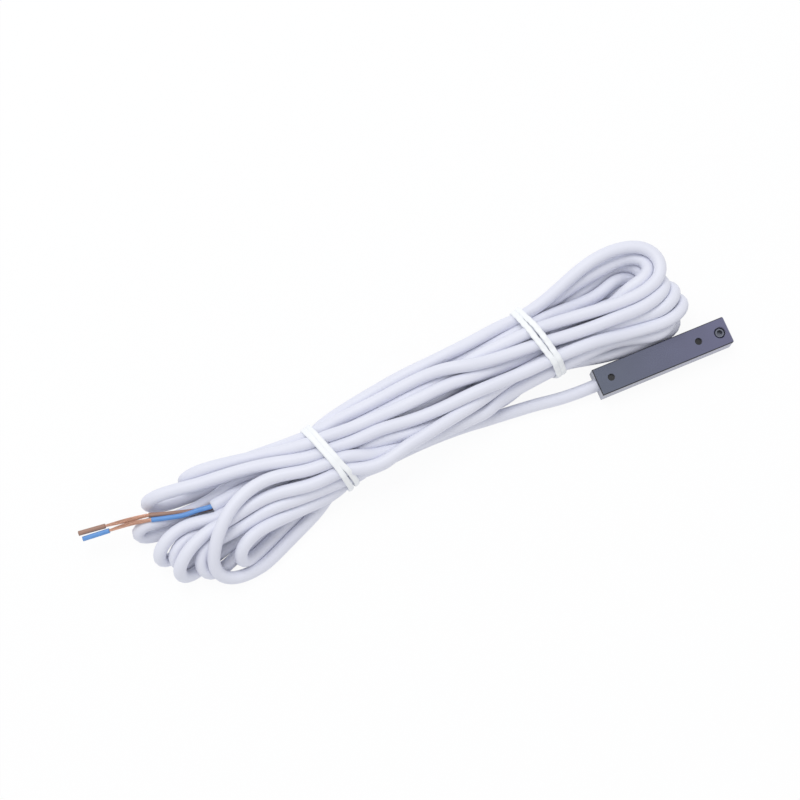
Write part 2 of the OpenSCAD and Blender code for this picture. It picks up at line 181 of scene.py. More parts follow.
# Nickel-iron, drawn, pressed and plated: a warm pale metal, with fine streaks along the wire from the
# drawing die.
reed_alloy, tree, surface = new_material("nickel_iron_drawn_and_plated")
place = add(tree, "TexCoord")
drawn = add(tree, "Mapping", {
    "Vector": place.outputs["Object"],
    "Scale": (1 / (REED_STREAK * MM), 1 / (REED_STREAK_W * MM), 1 / (REED_STREAK_W * MM)),
})
streak = add(tree, "TexNoise", {"Vector": drawn.outputs[0], "Scale": 1.0, "Detail": 2.0})
tone = add(tree, "Mix", {
    0: streak.outputs["Fac"], 6: linear("#B9B4A6"), 7: linear("#D6D2C6"),
}, data_type="RGBA")
rough = add(tree, "MapRange", {"Value": streak.outputs["Fac"], "To Min": 0.2, "To Max": 0.36})
bump = add(tree, "Bump", {"Height": streak.outputs["Fac"], "Strength": 0.15, "Distance": 0.01 * MM})
shader = add(tree, "BsdfPrincipled", {
    "Base Color": tone.outputs[2], "Roughness": rough.outputs["Result"],
    "Metallic": 1.0, "Normal": bump.outputs[0],
})
tree.links.new(shader.outputs[0], surface)
dress(reed_alloy, "rear_reed", "front_reed")


# The circuit board. A slip of glass-epoxy laminate with two copper tracks etched on its underside. The
# reeds' legs and the lead's wires come through it and are soldered below.
WEAVE_PITCH = 0.5
FOIL_GRAIN = 0.3
SOLDER_CREASE = 0.35

# A wave texture repeats every 2 pi / (20 * its scale).
WAVE_FACTOR = 20

# Glass cloth in epoxy, pressed: a green, half-gloss face in which the crossing threads show as a fine grid.
laminate, tree, surface = new_material("glass_epoxy_pressed_green")
place = add(tree, "TexCoord")
wave_scale = 2 * np.pi / (WAVE_FACTOR * WEAVE_PITCH * MM)
warp = add(tree, "TexWave", {"Vector": place.outputs["Object"], "Scale": wave_scale}, bands_direction="X")
weft = add(tree, "TexWave", {"Vector": place.outputs["Object"], "Scale": wave_scale}, bands_direction="Y")
weave = add(tree, "Math", {0: warp.outputs["Fac"], 1: weft.outputs["Fac"]}, operation="MULTIPLY")
tone = add(tree, "Mix", {0: weave.outputs[0], 6: linear("#2F6540"), 7: linear("#3F7D52")}, data_type="RGBA")
rough = add(tree, "MapRange", {"Value": weave.outputs[0], "To Min": 0.34, "To Max": 0.5})
bump = add(tree, "Bump", {"Height": weave.outputs[0], "Strength": 0.2, "Distance": 0.02 * MM})
shader = add(tree, "BsdfPrincipled", {
    "Base Color": tone.outputs[2], "Roughness": rough.outputs["Result"],
    "IOR": 1.54, "Normal": bump.outputs[0],
})
tree.links.new(shader.outputs[0], surface)
dress(laminate, "circuit_board")

# Copper foil, etched: a flat salmon metal, slightly mottled where the etch and the fingers have been.
foil, tree, surface = new_material("copper_foil_etched")
place = add(tree, "TexCoord")
mottle = add(tree, "TexNoise", {
    "Vector": place.outputs["Object"], "Scale": 1 / (FOIL_GRAIN * MM), "Detail": 3.0,
})
tone = add(tree, "Mix", {
    0: mottle.outputs["Fac"], 6: linear("#C98A6B"), 7: linear("#E3AE92"),
}, data_type="RGBA")
rough = add(tree, "MapRange", {"Value": mottle.outputs["Fac"], "To Min": 0.3, "To Max": 0.48})
shader = add(tree, "BsdfPrincipled", {
    "Base Color": tone.outputs[2], "Roughness": rough.outputs["Result"], "Metallic": 1.0,
})
tree.links.new(shader.outputs[0], surface)
dress(foil, "copper_tracks")

# Tin solder, flowed and frozen: bright silver with soft creases from its shrinking.
solder, tree, surface = new_material("tin_solder_flowed")
place = add(tree, "TexCoord")
crease = add(tree, "TexNoise", {
    "Vector": place.outputs["Object"], "Scale": 1 / (SOLDER_CREASE * MM), "Detail": 2.0,
})
tone = add(tree, "Mix", {
    0: crease.outputs["Fac"], 6: linear("#C2C5CA"), 7: linear("#E1E3E6"),
}, data_type="RGBA")
rough = add(tree, "MapRange", {"Value": crease.outputs["Fac"], "To Min": 0.12, "To Max": 0.3})
bump = add(tree, "Bump", {"Height": crease.outputs["Fac"], "Strength": 0.3, "Distance": 0.03 * MM})
shader = add(tree, "BsdfPrincipled", {
    "Base Color": tone.outputs[2], "Roughness": rough.outputs["Result"],
    "Metallic": 1.0, "Normal": bump.outputs[0],
})
tree.links.new(shader.outputs[0], surface)
dress(solder, "rear_reed_solder", "front_reed_solder", "brown_solder", "blue_solder")


# The case. One black glass-filled plastic moulding, open below, with a hole for the clamping screw at one
# end and two dimples left by the moulding pins in its top.
CASE_L, CASE_W, CASE_H = 38.0, 7.5, 5.5
EDGE_R = 0.3
DIMPLE_D = 1.9
DIMPLE_X = (-15.0, 10.2)
DIMPLE_RIM = (0.54, 0.47)
SPARK_GRAIN = 0.25
FLOW_CLOUD = 9.0
FIBRE_BLOOM = 1.0

# Moulded plastic from an eroded tool: a dark satin with an even spark grain and a slow drift to violet
# towards the screw end. Its top edges and the pins' dimples carry painted shade, a near black standing for
# the dark room the rounded edges reflect and for the shade in the dimples. Glass fibres under the skin give
# it a pale bloom at a low angle, left off where the shade is painted. The grain is drawn twice as coarse as
# the real one.
case_plastic, tree, surface = new_material("black_plastic_moulded_satin")
place = add(tree, "TexCoord")
part = add(tree, "SeparateXYZ", {0: place.outputs["Object"]})
drift = add(tree, "MapRange", {
    "Value": part.outputs["X"], "From Min": -CASE_L / 2 * MM, "From Max": CASE_L / 2 * MM,
})
tone = add(tree, "Mix", {
    0: drift.outputs["Result"], 6: linear("#585F71"), 7: linear("#656583"),
}, data_type="RGBA")
cloud = add(tree, "TexNoise", {
    "Vector": place.outputs["Object"], "Scale": 1 / (FLOW_CLOUD * MM), "Detail": 2.0,
})
shade = add(tree, "MapRange", {"Value": cloud.outputs["Fac"], "To Min": 0.86, "To Max": 1.1})
tone = add(tree, "VectorMath", {0: tone.outputs[2], "Scale": shade.outputs["Result"]}, operation="SCALE")
# Painted shade: a mask of the top edges and the pins' dimples, where the colour turns near black.
across = add(tree, "Math", {0: part.outputs["Y"]}, operation="ABSOLUTE")
edge = add(tree, "MapRange", {
    "Value": across.outputs[0],
    "From Min": (CASE_W / 2 - EDGE_R) * MM, "From Max": (CASE_W / 2 - EDGE_R / 2) * MM,
})
cable_edge = add(tree, "MapRange", {
    "Value": part.outputs["X"],
    "From Min": (EDGE_R - CASE_L / 2) * MM, "From Max": (EDGE_R - CASE_L) / 2 * MM,
})
edge = add(tree, "Math", {0: edge.outputs["Result"], 1: cable_edge.outputs["Result"]}, operation="MAXIMUM")
high = add(tree, "Math", {0: part.outputs["Z"], 1: (CASE_H - 1.5 * EDGE_R) * MM}, operation="GREATER_THAN")
painted_shade = add(tree, "Math", {0: edge.outputs[0], 1: high.outputs[0]}, operation="MULTIPLY")
level_place = add(tree, "VectorMath", {
    0: place.outputs["Object"], 1: (1.0, 1.0, 0.0),
}, operation="MULTIPLY")
for x in DIMPLE_X:
    away = add(tree, "VectorMath", {0: level_place.outputs[0], 1: (x * MM, 0.0, 0.0)}, operation="DISTANCE")
    inside = add(tree, "MapRange", {
        "Value": away.outputs["Value"],
        "From Min": DIMPLE_RIM[0] * DIMPLE_D * MM, "From Max": DIMPLE_RIM[1] * DIMPLE_D * MM,
    })
    painted_shade = add(tree, "Math", {0: painted_shade.outputs[0], 1: inside.outputs["Result"]}, operation="MAXIMUM")
tone = add(tree, "Mix", {0: painted_shade.outputs[0], 6: tone.outputs[0], 7: linear("#14141C")}, data_type="RGBA")
grain = add(tree, "TexNoise", {
    "Vector": place.outputs["Object"], "Scale": 1 / (SPARK_GRAIN * MM), "Detail": 3.0,
})
rough = add(tree, "MapRange", {"Value": grain.outputs["Fac"], "To Min": 0.2, "To Max": 0.34})
bump = add(tree, "Bump", {"Height": grain.outputs["Fac"], "Strength": 0.15, "Distance": 0.02 * MM})
# The sheen is kept off where the shade is painted.
outside_painted_shade = add(tree, "Math", {0: 1.0, 1: painted_shade.outputs[0]}, operation="SUBTRACT")
bloom = add(tree, "Math", {0: outside_painted_shade.outputs[0], 1: FIBRE_BLOOM}, operation="MULTIPLY")
shader = add(tree, "BsdfPrincipled", {
    "Base Color": tone.outputs[2], "Roughness": rough.outputs["Result"],
    "IOR": 1.55, "Normal": bump.outputs[0],
    "Sheen Weight": bloom.outputs[0], "Sheen Roughness": 0.3, "Sheen Tint": linear("#E6E8FA"),
})
tree.links.new(shader.outputs[0], surface)
dress(case_plastic, "case")


# The resin. Black epoxy is poured into the open underside over the board, the capsule and the end of the
# lead. It sets a little under the rim of the case and holds them all.
RESIN_WAVE = 4.0

# Epoxy, cast and cured: near black and glossy, with a slow unevenness from its shrinking.
resin, tree, surface = new_material("black_epoxy_cast")
place = add(tree, "TexCoord")
wave = add(tree, "TexNoise", {
    "Vector": place.outputs["Object"], "Scale": 1 / (RESIN_WAVE * MM), "Detail": 2.0,
})
tone = add(tree, "Mix", {
    0: wave.outputs["Fac"], 6: linear("#26262A"), 7: linear("#36363C"),
}, data_type="RGBA")
rough = add(tree, "MapRange", {"Value": wave.outputs["Fac"], "To Min": 0.08, "To Max": 0.22})
bump = add(tree, "Bump", {"Height": wave.outputs["Fac"], "Strength": 0.3, "Distance": 0.15 * MM})
shader = add(tree, "BsdfPrincipled", {
    "Base Color": tone.outputs[2], "Roughness": rough.outputs["Result"],
    "IOR": 1.55, "Normal": bump.outputs[0],
})
tree.links.new(shader.outputs[0], surface)
dress(resin, "potting")


# The set screw. A small headless screw with a hexagon socket, turned from steel bar and blackened. It
# stands in its hole at the end of the case and is turned down to clamp the case in a groove.
SCREW_X = 16.4
TURNING_PITCH = 0.16

# Steel, turned and blackened: a dark grey metal with fine rings about its axis from the tool, brighter on
# their ridges.
screw_steel, tree, surface = new_material("steel_turned_and_blackened")
place = add(tree, "TexCoord")
centred = add(tree, "Mapping", {"Vector": place.outputs["Object"], "Location": (-SCREW_X * MM, 0.0, 0.0)})
ring_scale = 2 * np.pi / (WAVE_FACTOR * TURNING_PITCH * MM)
rings = add(tree, "TexWave", {
    "Vector": centred.outputs[0], "Scale": ring_scale, "Distortion": 0.6,
}, wave_type="RINGS", rings_direction="Z")
tone = add(tree, "Mix", {
    0: rings.outputs["Fac"], 6: linear("#5A5D68"), 7: linear("#8B8E99"),
}, data_type="RGBA")
rough = add(tree, "MapRange", {"Value": rings.outputs["Fac"], "To Min": 0.24, "To Max": 0.4})
bump = add(tree, "Bump", {"Height": rings.outputs["Fac"], "Strength": 0.2, "Distance": 0.02 * MM})
shader = add(tree, "BsdfPrincipled", {
    "Base Color": tone.outputs[2], "Roughness": rough.outputs["Result"],
    "Metallic": 1.0, "Normal": bump.outputs[0],
})
tree.links.new(shader.outputs[0], surface)
dress(screw_steel, "set_screw")


# The lead. A round two-core cable with a pale grey vinyl jacket, fixed in the end of the case. All of it
# is on show: it is folded by hand into a long hank of nine turns that lie on and beside each other.
CABLE_D = 3.4
CABLE_EXIT = np.array([-19.0, 0.0, 2.6])
CABLE_SIDES = 16
LEAST_BEND = 3.2
STEP = 2.0
FINE_STEP = 1.25
ROUNDS = 300
HELD_START = 34
HELD_END = 3
CURVE_POINTS = 24
# How the lead settles: the share of a fault that a round takes away, and reaches in widths, points or mm.
HOME_PULL = 0.009
HOME_PULL_EARLY = 0.03
SINK = 0.02
SPRING = 0.09
BEND_EASE = 0.16
STRETCH_EASE = 0.25
PUSH = 1.3
PUSH_MOST = 1.6
NEAR_WIDTHS = 1.9
SAME_STRAND_WIDTHS = 2.2
NEAR_EVERY = 8
TIE_GRIP = 2.5
PAST_RIGHT_TIE = 30
PAST_HELD = 10
CASE_REACH = 2.5
CASE_CLEAR = 0.1
HANK_AT = np.array([-91.5, 8.3])
HANK_TURN = np.radians(6.6)
TIE_AT = {"left": 0.0, "right": 62.4}
TIE_SLANT = {"left": np.radians(12.0), "right": np.radians(6.5)}
TIE_ROOM = {"left": 7.4, "right": 8.1}
TIE_MID_Z = 7.35
TIE_HALF_H = 4.85
TIE_ROUNDNESS = 3.0
LEAD_ROUTE = [
    (-14.5, 0, 2.6), (-19, 0, 2.6), (-23, 0, 2.6), (-29, 0.4, 2.2), (-36, 1.4, 1.9),
    (-43, 2.1, 1.8), (-50, 2.7, 1.8), (-56.45, 3.3, 1.8), (-66, 3.5, 1.8), (-76, 3.0, 1.9),
    (-83, 2.0, 2.1),
]
TAIL_SLOT = (5.2, 5.3)
TAIL_ROUTE = [(-24, 3.5, 7.2), (-32.5, 3.5, 6.95)]
# Each fold: its place in the tie on the way in (across the bundle, height), the points on the way in, its
# tip, the heading of the tip in degrees, its radius, its tilt in degrees out of the level, the points on
# the way out, its place in the tie on the way out, and points of the run on to the other tie (along and
# across the bundle, height). A left fold and a right fold make one turn of the hank.
FOLDS = [
    ("left", (-7.4, 2.4), [(-105.3, -4.9, 1.8), (-114, -8.6, 1.7)], (-129.2, -8.8, 5.2), 212, 5.8, 140,
     [(-124.5, 1.2, 11.5), (-118.5, 5.4, 12.4), (-109, 8.4, 12.4)], (-2.7, 11.2),
     [(7, -4.2, 9.6), (15, -5.2, 7), (26, -6, 5.8), (42, -6.6, 5.8)]),
    ("right", (-8, 7.9), [(-10, 8.6, 7.6), (-3.6, 7.6, 6)], (6.4, 11.6, 5.4), 8, 5.4, -30,
     [], (3.5, 4.8), []),
    ("left", (-4, 2.4), [], (-121.4, -8.2, 5.4), 222, 4.6, 112,
     [(-108, -1, 7.4)], (-7.6, 4.8), [(14, -5.4, 4.2)]),
    ("right", (-3.4, 5), [(-12, 12.5, 5)], (4.2, 22.6, 4.8), 18, 4.2, -8,
     [(-9.9, 24.9, 5.2)], (5.2, 2.2), []),
    ("left", (-0.6, 2.4), [], (-131.4, -7, 4.8), 222, 4.8, 125,
     [(-120.1, -0.9, 8.6), (-108, 1.3, 8.8)], (-7.2, 7.2), [(14, -5, 6), (44, -5, 4.4)]),
    ("right", (-6.9, 4.7), [(-14, 6, 4), (-6, 5.6, 2.8)], (7, 10.2, 2.6), 4, 4.8, -10, [], (0.1, 4.9), []),
    ("left", (-4.9, 5.3), [], (-137.6, -5.2, 6), 222, 4.6, 98,
     [(-125.6, 2.6, 9.4), (-112.7, 5, 9.6)], (-6.9, 10),
     [(7, -7, 10.4), (19, -6.8, 10.8), (34, -6.5, 10.2)]),
    ("right", (-4.8, 7.9), [], (9.2, 17.2, 6.2), 20, 5.2, -40, [], (-1.6, 2.1), []),
    ("left", (-1.5, 5.3), [], (-137.6, -2, 4.4), 212, 4, 122, [(-127, 3.2, 4.8)], (-3.4, 8.2), []),
    ("right", (-5, 2.2), [], (3.2, 16.8, 3.2), 12, 5.2, -4, [(-9, 21.8, 3.4)], (1.8, 2.1), []),
    ("left", (1.9, 5.3), [], (-141, 0, 5.2), 205, 4.2, 118, [(-129.2, 6.4, 7.6)], (0, 8.2), []),
    ("right", (1.8, 7.8), [], (5, 23.4, 8.4), 16, 4.8, 0, [(-10.6, 26.8, 8.4)], (7.2, 5.2), []),
    ("left", (2.8, 2.4), [(-133, 8, 1.7)], (-144.8, 9.4, 3.5), 172, 2, 105,
     [(-138, 9, 4.6), (-131, 9.2, 4.2)], (3.4, 8.2), []),
    ("right", (2.6, 10.9), [(-5.8, 16.4, 11.9)], (7.4, 25.3, 11.8), 22, 6.3, 0,
     [(-2, 29.9, 11.8), (-9.1, 29.4, 11.6)], (7.4, 8.6), [(29, 8.8, 9.4)]),
    ("left", (8.4, 5), [(-129, 14, 1.9)], (-139.7, 15.3, 5.6), 172, 4, 99,
     [(-125, 14.6, 10.2), (-108.8, 12.4, 11.2)], (0.7, 11.2), [(31, -3.6, 11.8)]),
    ("right", (-6.2, 11.1), [(-12, 10.2, 9.6), (-3, 9.6, 8.4)], (10, 13.8, 5.4), 25, 5.2, -40,
     [], (-1.6, 7.9), [(34, 1.2, 11)]),
    ("left", (4.4, 11), [(-108, 15.2, 8.4), (-116, 16.8, 8.2)], (-128.4, 17, 5.4), 175, 4.2, -85,
     [], (7.4, 7.6), [(24, 6.4, 8.8), (38, 4, 10.2), (50, 1, 11)]),
    ("right", (-1.4, 11.1), [(-11.5, 12.9, 11.4), (-4.5, 13, 11)], (7.4, 19.2, 7.2), 36, 5, -55,
     [], (5, 7.6), []),
]
JACKET_PALE = "#E8EAF5"
JACKET_DEEP = "#DEE0EE"


def hank_point(along, across, height):
    """A point given along and across the bundle, from the middle of the left tie, in the part's frame."""
    c, s = np.cos(HANK_TURN), np.sin(HANK_TURN)
    x = HANK_AT[0] + along * c - across * s
    y = HANK_AT[1] + along * s + across * c
    return np.stack([x, y, height], axis=-1)


def tie_slot(side, across, height):
    """The place of one strand in a tie, which slants across the bundle."""
    return hank_point(TIE_AT[side] - across * np.tan(TIE_SLANT[side]), across, height)


def fold_arc(tip, heading, radius, tilt):
    """Five points on half a circle through tip: centre + radius * (cos a * ahead + sin a * across), with a
    from -90 to 90. Ahead points along the heading, and across is square to it, tilted out of the level."""
    turn, lean = np.radians(heading), np.radians(tilt)
    ahead = np.array([np.cos(turn), np.sin(turn), 0.0])
    across = np.array([-np.sin(turn) * np.cos(lean), np.cos(turn) * np.cos(lean), np.sin(lean)])
    a = np.radians([-90, -45, 0, 45, 90])[:, None]
    return np.array(tip) - radius * ahead + radius * (np.cos(a) * ahead + np.sin(a) * across)


def even_steps(line, step):
    """The same line with points at an even step along it."""
    along = np.concatenate([[0], np.cumsum(np.linalg.norm(np.diff(line, axis=0), axis=1))])
    wanted = np.linspace(0, along[-1], int(round(along[-1] / step)) + 1)
    return np.stack([np.interp(wanted, along, line[:, k]) for k in range(3)], axis=1)


def through(points, step):
    """A centripetal Catmull-Rom curve through the points: knots lie at the sums of the square roots of
    the gaps, and each piece blends its four nearest points in three rounds of straight blends."""
    points = np.asarray(points, float)
    p = np.vstack([2 * points[0] - points[1], points, 2 * points[-1] - points[-2]])
    knots = np.concatenate([[0], np.cumsum(np.linalg.norm(np.diff(p, axis=0), axis=1) ** 0.5)])
    t0, t1, t2, t3 = (knots[k:len(p) - 3 + k, None, None] for k in range(4))
    p0, p1, p2, p3 = (p[k:len(p) - 3 + k, None, :] for k in range(4))
    t = t1 + (t2 - t1) * np.linspace(0, 1, CURVE_POINTS, endpoint=False)[None, :, None]
    a1 = ((t1 - t) * p0 + (t - t0) * p1) / (t1 - t0)
    a2 = ((t2 - t) * p1 + (t - t1) * p2) / (t2 - t1)
    a3 = ((t3 - t) * p2 + (t - t2) * p3) / (t3 - t2)
    b1 = ((t2 - t) * a1 + (t - t0) * a2) / (t2 - t0)
    b2 = ((t3 - t) * a2 + (t - t1) * a3) / (t3 - t1)
    curve = ((t2 - t) * b1 + (t - t1) * b2) / (t2 - t1)
    return even_steps(np.vstack([curve.reshape(-1, 3), points[-1:]]), step)


def settle(line, rounds, held_start, held_end):
    """Lets the folded lead settle. In each round every point is drawn a little to its first place and
    down, the line is eased where it bends, steps go back to their length, strands closer than a cable's
    width push apart, and the ties, the floor and the side of the case hold them."""
    p = line.copy()
    n = len(p)
    held = np.zeros(n, bool)
    held[:held_start] = True
    held[n - held_end:] = True
    c, s = np.cos(HANK_TURN), np.sin(HANK_TURN)
    skip = int(np.ceil(SAME_STRAND_WIDTHS * CABLE_D / STEP))
    for k in range(rounds):
        early = 1 - k / rounds
        p = p + (HOME_PULL_EARLY * early + HOME_PULL) * (line - p)
        p[:, 2] -= SINK * early
        for _ in range(2):
            second = p[:-2] - 2 * p[1:-1] + p[2:]
            ease = np.zeros_like(p)
            ease[1:-1] += second * 2
            ease[:-2] -= second
            ease[2:] -= second
            p = p + SPRING * ease
        for reach in (1, 2, 3):
            second = p[:-2 * reach] - 2 * p[reach:-reach] + p[2 * reach:]
            size = np.maximum(np.linalg.norm(second, axis=1, keepdims=True), 1e-9)
            over = np.maximum(size - (reach * STEP) ** 2 / LEAST_BEND, 0) / size * second
            p[reach:-reach] += BEND_EASE * over
            p[:-2 * reach] -= BEND_EASE / 2 * over
            p[2 * reach:] -= BEND_EASE / 2 * over
        for _ in range(4):
            gap = np.diff(p, axis=0)
            size = np.linalg.norm(gap, axis=1, keepdims=True)
            pull = STRETCH_EASE * (size - STEP) / size * gap
            p[:-1] += pull
            p[1:] -= pull
        if k % NEAR_EVERY == 0:
            square = (p * p).sum(1)
            apart = square[:, None] + square[None] - 2 * p @ p.T
            i, j = np.nonzero(np.triu(apart < (NEAR_WIDTHS * CABLE_D) ** 2, skip))
        for _ in range(2):
            gap = p[i] - p[j]
            size = np.sqrt((gap * gap).sum(1)) + 1e-9
            close = size < CABLE_D
            push = (0.5 * (CABLE_D - size[close]) / size[close])[:, None] * gap[close]
            total = np.stack([
                np.bincount(i[close], push[:, a], n) - np.bincount(j[close], push[:, a], n) for a in range(3)
            ], axis=1)
            count = np.bincount(i[close], minlength=n) + np.bincount(j[close], minlength=n)
            p = p + total * (PUSH * np.minimum(count, PUSH_MOST) / np.maximum(count, 1))[:, None]
        dx, dy = p[:, 0] - HANK_AT[0], p[:, 1] - HANK_AT[1]
        along, across = dx * c + dy * s, dy * c - dx * s
        for side, first in (("left", held_start), ("right", held_start + PAST_RIGHT_TIE)):
            near = np.abs(along + across * np.tan(TIE_SLANT[side]) - TIE_AT[side]) < TIE_GRIP
            near[:first] = False
            wide = np.abs(across / TIE_ROOM[side])
            tall = np.abs((p[:, 2] - TIE_MID_Z) / TIE_HALF_H)
            size = (wide ** TIE_ROUNDNESS + tall ** TIE_ROUNDNESS) ** (1 / TIE_ROUNDNESS)
            out = near & (size > 1)
            shrink = 0.5 * (1 / size[out] - 1)
            outward = np.stack([-across[out] * s, across[out] * c, p[out, 2] - TIE_MID_Z], axis=1)
            p[out] += shrink[:, None] * outward
        p[:, 2] = np.maximum(p[:, 2], CABLE_D / 2)
        beside = (p[:, 0] > CABLE_EXIT[0] - CASE_REACH) & (np.arange(n) > held_start + PAST_HELD)
        p[beside, 1] = np.maximum(p[beside, 1], CASE_W / 2 + CABLE_D / 2 + CASE_CLEAR)
        p[held] = line[held]
    return p


def frames_along(path):
    """Side and up at each point of an open path. Each point takes any side square to the path; the angles
    from one side to the next, added up along the path, are then turned back, so that the frame never
    spins."""
    ahead = np.gradient(path, axis=0)
    ahead /= np.linalg.norm(ahead, axis=1, keepdims=True)
    side = np.cross(ahead, np.eye(3)[np.abs(ahead).argmin(axis=1)])
    side /= np.linalg.norm(side, axis=1, keepdims=True)
    up = np.cross(ahead, side)
    brought = side[:-1] - (side[:-1] * ahead[1:]).sum(1)[:, None] * ahead[1:]
    step = np.arctan2((brought * up[1:]).sum(1), (brought * side[1:]).sum(1))
    spin = np.concatenate([[0], np.cumsum(step)])[:, None]
    return np.cos(spin) * side + np.sin(spin) * up, np.cos(spin) * up - np.sin(spin) * side


def round_tube(path, radius, sides):
    """A circle carried along a path: path + radius * (cos a * side + sin a * up), as rings of points."""
    side, up = frames_along(path)
    a = np.linspace(0, 2 * np.pi, sides, endpoint=False)[None, :, None]
    return path[:, None] + radius * (np.cos(a) * side[:, None] + np.sin(a) * up[:, None])


def grid_piece(name, grids, material, body, closed=False):
    """An object from grids of rings in millimetres, each ring closed on itself. An open run of rings gets
    a flat end at both ends, a closed one joins its last ring to its first. The map 'along' holds
    millimetres along the rings and turns round them."""
    points, quads, ends, maps = [], [], [], []
    start = 0
    for grid in grids:
        rings, sides = grid.shape[:2]
        centre = grid.mean(axis=1)
        run = np.concatenate([[0], np.cumsum(np.linalg.norm(np.diff(centre, axis=0), axis=1))])
        i = np.arange(rings if closed else rings - 1)[:, None]
        j = np.arange(sides)[None, :]
        i2, j2 = (i + 1) % rings, (j + 1) % sides
        corners = [i * sides + j, i * sides + j2, i2 * sides + j2, i2 * sides + j]
        quads.append(start + np.stack(corners, -1).reshape(-1, 4))
        run_next = np.append(run[1:], run[-1] + np.linalg.norm(centre[0] - centre[-1]))
        low = np.broadcast_to(run[i], (len(i), sides))
        high = np.broadcast_to(run_next[i], (len(i), sides))
        turn = np.broadcast_to(j / sides, low.shape)
        turn2 = turn + 1 / sides
        maps.append(np.stack([low, turn, low, turn2, high, turn2, high, turn], -1).reshape(-1))
        if not closed:
            ends.append((start + j[0, ::-1]).tolist())
            ends.append((start + (rings - 1) * sides + j[0]).tolist())
        points.append(grid.reshape(-1, 3))
        start += rings * sides
    quads = np.concatenate(quads)
    mesh = bpy.data.meshes.new(name)
    mesh.from_pydata((np.concatenate(points) * MM).tolist(), [], quads.tolist() + ends)
    smooth = np.zeros(len(mesh.polygons), bool)
    smooth[:len(quads)] = True
    mesh.polygons.foreach_set("use_smooth", smooth)
    layer = mesh.uv_layers.new(name="along")
    values = np.zeros(2 * len(mesh.loops))
    flat_maps = np.concatenate(maps)
    values[:len(flat_maps)] = flat_maps
    layer.data.foreach_set("uv", values)
    mesh.materials.append(material)
    mesh.update()
    piece = bpy.data.objects.new(name, mesh)
    bpy.context.collection.objects.link(piece)
    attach(piece, body)
    return piece


# Soft vinyl, extruded: satin, with a faint long streak from the die and a slight unevenness in its grey.
STREAK_LENGTH = 40.0
STREAKS_ROUND = 9.0
GRAIN = 0.6
JACKET_CLOUD = 14.0
vinyl_jacket, tree, surface = new_material("vinyl_extruded_pale_grey")
run = add(tree, "UVMap", uv_map="along")
stretch = add(tree, "Mapping", {"Vector": run.outputs[0], "Scale": (1 / STREAK_LENGTH, STREAKS_ROUND, 1.0)})
streak = add(tree, "TexNoise", {"Vector": stretch.outputs[0], "Scale": 1.0, "Detail": 2.0})
place = add(tree, "TexCoord")
grain = add(tree, "TexNoise", {"Vector": place.outputs["Object"], "Scale": 1 / (GRAIN * MM), "Detail": 3.0})
cloud = add(tree, "TexNoise", {
    "Vector": place.outputs["Object"], "Scale": 1 / (JACKET_CLOUD * MM), "Detail": 1.0,
})
tone = add(tree, "Mix", {
    0: cloud.outputs["Fac"], 6: linear(JACKET_DEEP), 7: linear(JACKET_PALE),
}, data_type="RGBA")
rough = add(tree, "MapRange", {"Value": streak.outputs["Fac"], "To Min": 0.42, "To Max": 0.58})
relief = add(tree, "Math", {0: streak.outputs["Fac"], 1: grain.outputs["Fac"]}, operation="ADD")
bump = add(tree, "Bump", {"Height": relief.outputs[0], "Strength": 0.12, "Distance": 0.05 * MM})
shader = add(tree, "BsdfPrincipled", {
    "Base Color": tone.outputs[2], "Roughness": rough.outputs["Result"],
    "IOR": 1.53, "Normal": bump.outputs[0],
})
tree.links.new(shader.outputs[0], surface)

guides = [np.array(point, float) for point in LEAD_ROUTE]
for side, slot_in, way_in, tip, heading, radius, tilt, way_out, slot_out, run_on in FOLDS:
    guides.append(tie_slot(side, *slot_in))
    guides.extend(np.array(point, float) for point in way_in)
    guides.extend(fold_arc(tip, heading, radius, tilt))
    guides.extend(np.array(point, float) for point in way_out)
    guides.append(tie_slot(side, *slot_out))
    guides.extend(hank_point(*point) for point in run_on)
guides.append(tie_slot("left", *TAIL_SLOT))
guides.extend(hank_point(*point) for point in TAIL_ROUTE)
settled = settle(through(guides, STEP), ROUNDS, HELD_START, HELD_END)
cable_path = through(settled, FINE_STEP)

JACKET_WALL = 0.28
CUT_DEPTH = 0.7
jacket = round_tube(cable_path, CABLE_D / 2, CABLE_SIDES)
cut_centre = cable_path[-1]
cut_ahead = cable_path[-1] - cable_path[-2]
cut_ahead /= np.linalg.norm(cut_ahead)
cut_rim = cut_centre + (jacket[-1] - cut_centre) * (1 - 2 * JACKET_WALL / CABLE_D)
jacket = np.concatenate([jacket, cut_rim[None], (cut_rim - CUT_DEPTH * cut_ahead)[None]])
lead = grid_piece("lead", [jacket], vinyl_jacket, "switch")
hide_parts("lead_cable", "cable_hank", "cable_tail")


# The two cores of the lead, brown and blue: fine copper wires in vinyl covers, soldered to the board in
# the case. At the far end they come out of the cut jacket, and each is bared for a stretch, with a slug
# of its cover left on the tip to keep the wires together.
CORE_D = 1.3
CORE_SIDES = 16
CORE_STEP = 0.5
SLUG_RINGS = 16
WIRE_D = 0.16
WIRE_SIDES = 8
WIRE_STEP = 0.2
WIRE_LAY = 18.0
WIRE_RINGS = ((0.08, 3, 0.3), (0.22, 8, 0.0), (0.36, 14, 0.1))
WIRE_SWELL = 0.5
WIRE_TAPER = 0.3
INSIDE_COVER = 1.0
INSIDE_JACKET = 3.0
CORE_ROUTES = {
    "brown": [
        (-32.5, 3.5, 6.2), (-33.2, 3.5, 6.2), (-36.2, 4.5, 6.4), (-39.7, 5.9, 6.6), (-43.8, 7.6, 7.1),
        (-47.8, 9.4, 7.6),
    ],
    "blue": [
        (-32.5, 3.5, 7.7), (-33.2, 3.6, 7.7), (-36.1, 4.3, 7.75), (-40, 5.0, 7.8), (-44.2, 6.5, 7.85),
        (-47.7, 7.9, 7.9),
    ],
}
